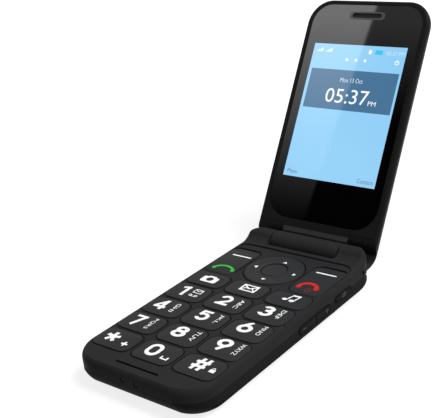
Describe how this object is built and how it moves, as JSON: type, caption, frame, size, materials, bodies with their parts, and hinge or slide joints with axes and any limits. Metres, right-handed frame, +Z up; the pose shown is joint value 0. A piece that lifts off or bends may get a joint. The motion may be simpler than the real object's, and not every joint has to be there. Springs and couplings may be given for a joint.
{
  "type": "folding mobile phone",
  "caption": "Folding mobile phone with large separate keys, a turning lid with a main and an outer display, side keys and a removable battery cover.",
  "frame": {"origin": "centre of the flat underside of the base", "axes": "+Z up from the underside, +Y towards the hinge, +X towards the side keys"},
  "size_m": [0.0572, 0.1686, 0.099],
  "materials": {
    "cover_plastic": "fine matt charcoal moulding",
    "dark_plastic": "matt black moulding",
    "key_plastic": "satin dark grey caps with printed marks",
    "window": "polished black window",
    "display": "display module",
    "small_display": "display module, dark face",
    "steel": "bare steel",
    "contact": "gold plated contact metal",
    "board": "green circuit board",
    "battery_can": "wrapped battery can",
    "mat_rubber": "grey silicone",
    "film": "polyester film",
    "black_part": "black plastic part",
    "lens_glass": "dark camera glass",
    "ring": "satin black ring",
    "flex": "amber flexible circuit",
    "lamp": "frosted clear lamp window"
  },
  "bodies": {
    "base": {"base_front_cover": "cover_plastic", "base_rear_cover": "dark_plastic", "battery": "battery_can", "main_board": "board", "shield_can": "steel", "dome_sheet": "film", "keypad_mat": "mat_rubber", "loudspeaker": "black_part", "microphone": "steel", "vibration_motor": "steel", "usb_socket": "steel", "sim_holder": "steel", "battery_contacts": "contact", "charging_contacts": "contact", "antenna": "contact", "base_screws": "steel", "hinge_pin": "steel"},
    "lid": {"hinge_barrel": "dark_plastic", "hinge_cam_unit": "steel", "lid_outer_cover": "cover_plastic", "lid_inner_cover": "cover_plastic", "main_window": "window", "main_display": "display", "earpiece": "black_part", "earpiece_mesh": "black_part", "outer_window": "window", "outer_display": "small_display", "camera_module": "lens_glass", "camera_ring": "ring", "lid_board": "board", "lid_flex": "flex", "lid_screws": "steel", "lid_magnet": "steel", "torch_lens": "lamp"},
    "battery_cover": {"battery_cover": "dark_plastic"},
    "key_1": {"key_1": "key_plastic"},
    "key_2": {"key_2": "key_plastic"},
    "key_3": {"key_3": "key_plastic"},
    "key_4": {"key_4": "key_plastic"},
    "key_5": {"key_5": "key_plastic"},
    "key_6": {"key_6": "key_plastic"},
    "key_7": {"key_7": "key_plastic"},
    "key_8": {"key_8": "key_plastic"},
    "key_9": {"key_9": "key_plastic"},
    "key_star": {"key_star": "key_plastic"},
    "key_0": {"key_0": "key_plastic"},
    "key_hash": {"key_hash": "key_plastic"},
    "key_camera": {"key_camera": "key_plastic"},
    "key_message": {"key_message": "key_plastic"},
    "key_music": {"key_music": "key_plastic"},
    "left_rocker": {"left_rocker": "key_plastic"},
    "right_rocker": {"right_rocker": "key_plastic"},
    "nav_pivot": {"nav_pivot": "black_part"},
    "nav_ring": {"nav_ring": "key_plastic"},
    "ok_key": {"ok_key": "key_plastic"},
    "volume_rocker": {"volume_rocker": "key_plastic"},
    "camera_side_key": {"camera_side_key": "key_plastic"},
    "outer_call_key": {"outer_call_key": "key_plastic"},
    "outer_end_key": {"outer_end_key": "key_plastic"}
  },
  "joints": [
    {"name": "lid_hinge", "type": "hinge", "parent": "base", "child": "lid", "pos_m": [0, 0.05095, 0.0114], "axis": [1, 0, 0], "range_deg": [0, 122.5]},
    {"name": "battery_cover_release", "type": "slide", "parent": "base", "child": "battery_cover", "axis": [0, 0, -1], "range_m": [0, 0.03]},
    {"name": "key_1_press", "type": "slide", "parent": "base", "child": "key_1", "axis": [0, 0, -1], "range_m": [0, 0.00035], "stiffness_N_per_m": 1500, "springref_m": -0.0006},
    {"name": "key_2_press", "type": "slide", "parent": "base", "child": "key_2", "axis": [0, 0, -1], "range_m": [0, 0.00035], "stiffness_N_per_m": 1500, "springref_m": -0.0006},
    {"name": "key_3_press", "type": "slide", "parent": "base", "child": "key_3", "axis": [0, 0, -1], "range_m": [0, 0.00035], "stiffness_N_per_m": 1500, "springref_m": -0.0006},
    {"name": "key_4_press", "type": "slide", "parent": "base", "child": "key_4", "axis": [0, 0, -1], "range_m": [0, 0.00035], "stiffness_N_per_m": 1500, "springref_m": -0.0006},
    {"name": "key_5_press", "type": "slide", "parent": "base", "child": "key_5", "axis": [0, 0, -1], "range_m": [0, 0.00035], "stiffness_N_per_m": 1500, "springref_m": -0.0006},
    {"name": "key_6_press", "type": "slide", "parent": "base", "child": "key_6", "axis": [0, 0, -1], "range_m": [0, 0.00035], "stiffness_N_per_m": 1500, "springref_m": -0.0006},
    {"name": "key_7_press", "type": "slide", "parent": "base", "child": "key_7", "axis": [0, 0, -1], "range_m": [0, 0.00035], "stiffness_N_per_m": 1500, "springref_m": -0.0006},
    {"name": "key_8_press", "type": "slide", "parent": "base", "child": "key_8", "axis": [0, 0, -1], "range_m": [0, 0.00035], "stiffness_N_per_m": 1500, "springref_m": -0.0006},
    {"name": "key_9_press", "type": "slide", "parent": "base", "child": "key_9", "axis": [0, 0, -1], "range_m": [0, 0.00035], "stiffness_N_per_m": 1500, "springref_m": -0.0006},
    {"name": "key_star_press", "type": "slide", "parent": "base", "child": "key_star", "axis": [0, 0, -1], "range_m": [0, 0.00035], "stiffness_N_per_m": 1500, "springref_m": -0.0006},
    {"name": "key_0_press", "type": "slide", "parent": "base", "child": "key_0", "axis": [0, 0, -1], "range_m": [0, 0.00035], "stiffness_N_per_m": 1500, "springref_m": -0.0006},
    {"name": "key_hash_press", "type": "slide", "parent": "base", "child": "key_hash", "axis": [0, 0, -1], "range_m": [0, 0.00035], "stiffness_N_per_m": 1500, "springref_m": -0.0006},
    {"name": "key_camera_press", "type": "slide", "parent": "base", "child": "key_camera", "axis": [0, 0, -1], "range_m": [0, 0.00035], "stiffness_N_per_m": 1500, "springref_m": -0.0006},
    {"name": "key_message_press", "type": "slide", "parent": "base", "child": "key_message", "axis": [0, 0, -1], "range_m": [0, 0.00035], "stiffness_N_per_m": 1500, "springref_m": -0.0006},
    {"name": "key_music_press", "type": "slide", "parent": "base", "child": "key_music", "axis": [0, 0, -1], "range_m": [0, 0.00035], "stiffness_N_per_m": 1500, "springref_m": -0.0006},
    {"name": "left_rocker_tilt", "type": "hinge", "parent": "base", "child": "left_rocker", "pos_m": [-0.02007, 0.02706, 0.0102], "axis": [1, 0, 0], "range_deg": [-1.2, 1.2], "stiffness_Nm_per_rad": 0.4},
    {"name": "right_rocker_tilt", "type": "hinge", "parent": "base", "child": "right_rocker", "pos_m": [0.02007, 0.02706, 0.0102], "axis": [1, 0, 0], "range_deg": [-1.2, 1.2], "stiffness_Nm_per_rad": 0.4},
    {"name": "nav_tilt_x", "type": "hinge", "parent": "base", "child": "nav_pivot", "pos_m": [0, 0.02704, 0.0096], "axis": [1, 0, 0], "range_deg": [-1, 1], "stiffness_Nm_per_rad": 0.4},
    {"name": "nav_tilt_y", "type": "hinge", "parent": "nav_pivot", "child": "nav_ring", "pos_m": [0, 0.02704, 0.00987], "axis": [0, 1, 0], "range_deg": [-1, 1], "stiffness_Nm_per_rad": 0.4},
    {"name": "ok_key_press", "type": "slide", "parent": "base", "child": "ok_key", "axis": [0, 0, -1], "range_m": [0, 0.0003], "stiffness_N_per_m": 1500, "springref_m": -0.0006},
    {"name": "volume_rocker_tilt", "type": "hinge", "parent": "base", "child": "volume_rocker", "pos_m": [0.0266, 0.011, 0.0063], "axis": [0, 0, 1], "range_deg": [-1.6, 1.6], "stiffness_Nm_per_rad": 0.4},
    {"name": "camera_side_key_press", "type": "slide", "parent": "base", "child": "camera_side_key", "axis": [-1, 0, 0], "range_m": [0, 0.0004], "stiffness_N_per_m": 1500, "springref_m": -0.0006},
    {"name": "outer_call_key_press", "type": "slide", "parent": "lid", "child": "outer_call_key", "axis": [0, -0.8434, 0.5373], "range_m": [0, 0.00035], "stiffness_N_per_m": 1500, "springref_m": -0.0006},
    {"name": "outer_end_key_press", "type": "slide", "parent": "lid", "child": "outer_end_key", "axis": [0, -0.8434, 0.5373], "range_m": [0, 0.00035], "stiffness_N_per_m": 1500, "springref_m": -0.0006}
  ]
}
